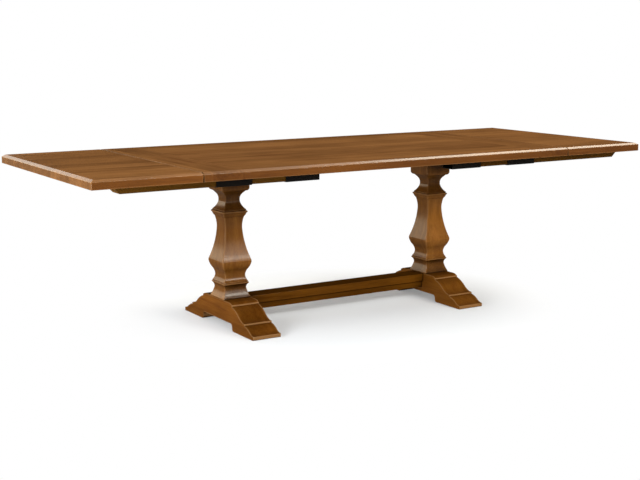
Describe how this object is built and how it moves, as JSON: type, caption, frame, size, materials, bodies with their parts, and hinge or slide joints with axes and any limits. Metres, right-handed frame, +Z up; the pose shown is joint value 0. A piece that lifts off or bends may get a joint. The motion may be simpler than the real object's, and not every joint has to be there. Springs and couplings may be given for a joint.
{
  "type": "extending trestle table",
  "caption": "Trestle dining table with baluster posts, moulded feet, a stretcher and pull-out slides that carry a leaf at each end.",
  "frame": {"origin": "on the floor, under the middle of the closed-up top", "axes": "+X along the length of the top, +Y from front to back, +Z up"},
  "size_m": [2.7952, 1.105, 0.762],
  "materials": {
    "top_wood": "satin lacquer over brown stain",
    "base_wood": "satin lacquer over brown stain",
    "slide_wood": "thin satin lacquer over brown stain",
    "dowel_wood": "bare hardwood",
    "black_steel": "satin black powder coat",
    "zinc_steel": "zinc plated",
    "insert_brass": "plain",
    "glide_plastic": "moulded nylon"
  },
  "bodies": {
    "frame": {"main_top_panel": "top_wood", "breadboard_end_left": "top_wood", "breadboard_end_right": "top_wood", "post_left": "base_wood", "post_right": "base_wood", "foot_left": "base_wood", "foot_right": "base_wood", "stretcher_top_board": "base_wood", "stretcher_end_block_left": "base_wood", "stretcher_end_block_right": "base_wood", "stretcher_rail": "base_wood", "top_cleat_left": "slide_wood", "top_cleat_right": "slide_wood", "breadboard_pegs": "dowel_wood", "bracket_front_left_inner": "black_steel", "bracket_front_left_outer": "black_steel", "bracket_back_left_inner": "black_steel", "bracket_back_left_outer": "black_steel", "bracket_front_right_inner": "black_steel", "bracket_front_right_outer": "black_steel", "bracket_back_right_inner": "black_steel", "bracket_back_right_outer": "black_steel", "bracket_screws": "black_steel", "top_bolts": "zinc_steel", "top_washers": "zinc_steel", "foot_lag_screws": "zinc_steel", "post_cap_screws": "zinc_steel", "stretcher_screws": "zinc_steel", "stretcher_studs": "zinc_steel", "stretcher_washers": "zinc_steel", "stretcher_nuts": "zinc_steel", "top_inserts": "insert_brass", "foot_glides": "glide_plastic"},
    "leaf_left": {"leaf_left": "top_wood", "leaf_dowels_left": "dowel_wood"},
    "leaf_right": {"leaf_right": "top_wood", "leaf_dowels_right": "dowel_wood"},
    "leaf_slide_front_left": {"leaf_slide_front_left": "slide_wood"},
    "leaf_slide_back_left": {"leaf_slide_back_left": "slide_wood"},
    "leaf_slide_front_right": {"leaf_slide_front_right": "slide_wood"},
    "leaf_slide_back_right": {"leaf_slide_back_right": "slide_wood"}
  },
  "joints": [
    {"name": "leaf_left_pull", "type": "slide", "parent": "frame", "child": "leaf_left", "axis": [-1, 0, 0], "range_m": [0, 0.1]},
    {"name": "leaf_right_pull", "type": "slide", "parent": "frame", "child": "leaf_right", "axis": [1, 0, 0], "range_m": [0, 0.1]},
    {"name": "front_left_slide_draw", "type": "slide", "parent": "frame", "child": "leaf_slide_front_left", "axis": [-1, 0, 0], "range_m": [-0.346, 0.094]},
    {"name": "front_right_slide_draw", "type": "slide", "parent": "frame", "child": "leaf_slide_front_right", "axis": [1, 0, 0], "range_m": [-0.44, 0]},
    {"name": "back_left_slide_draw", "type": "slide", "parent": "frame", "child": "leaf_slide_back_left", "axis": [-1, 0, 0], "range_m": [-0.346, 0.094]},
    {"name": "back_right_slide_draw", "type": "slide", "parent": "frame", "child": "leaf_slide_back_right", "axis": [1, 0, 0], "range_m": [-0.44, 0]}
  ]
}
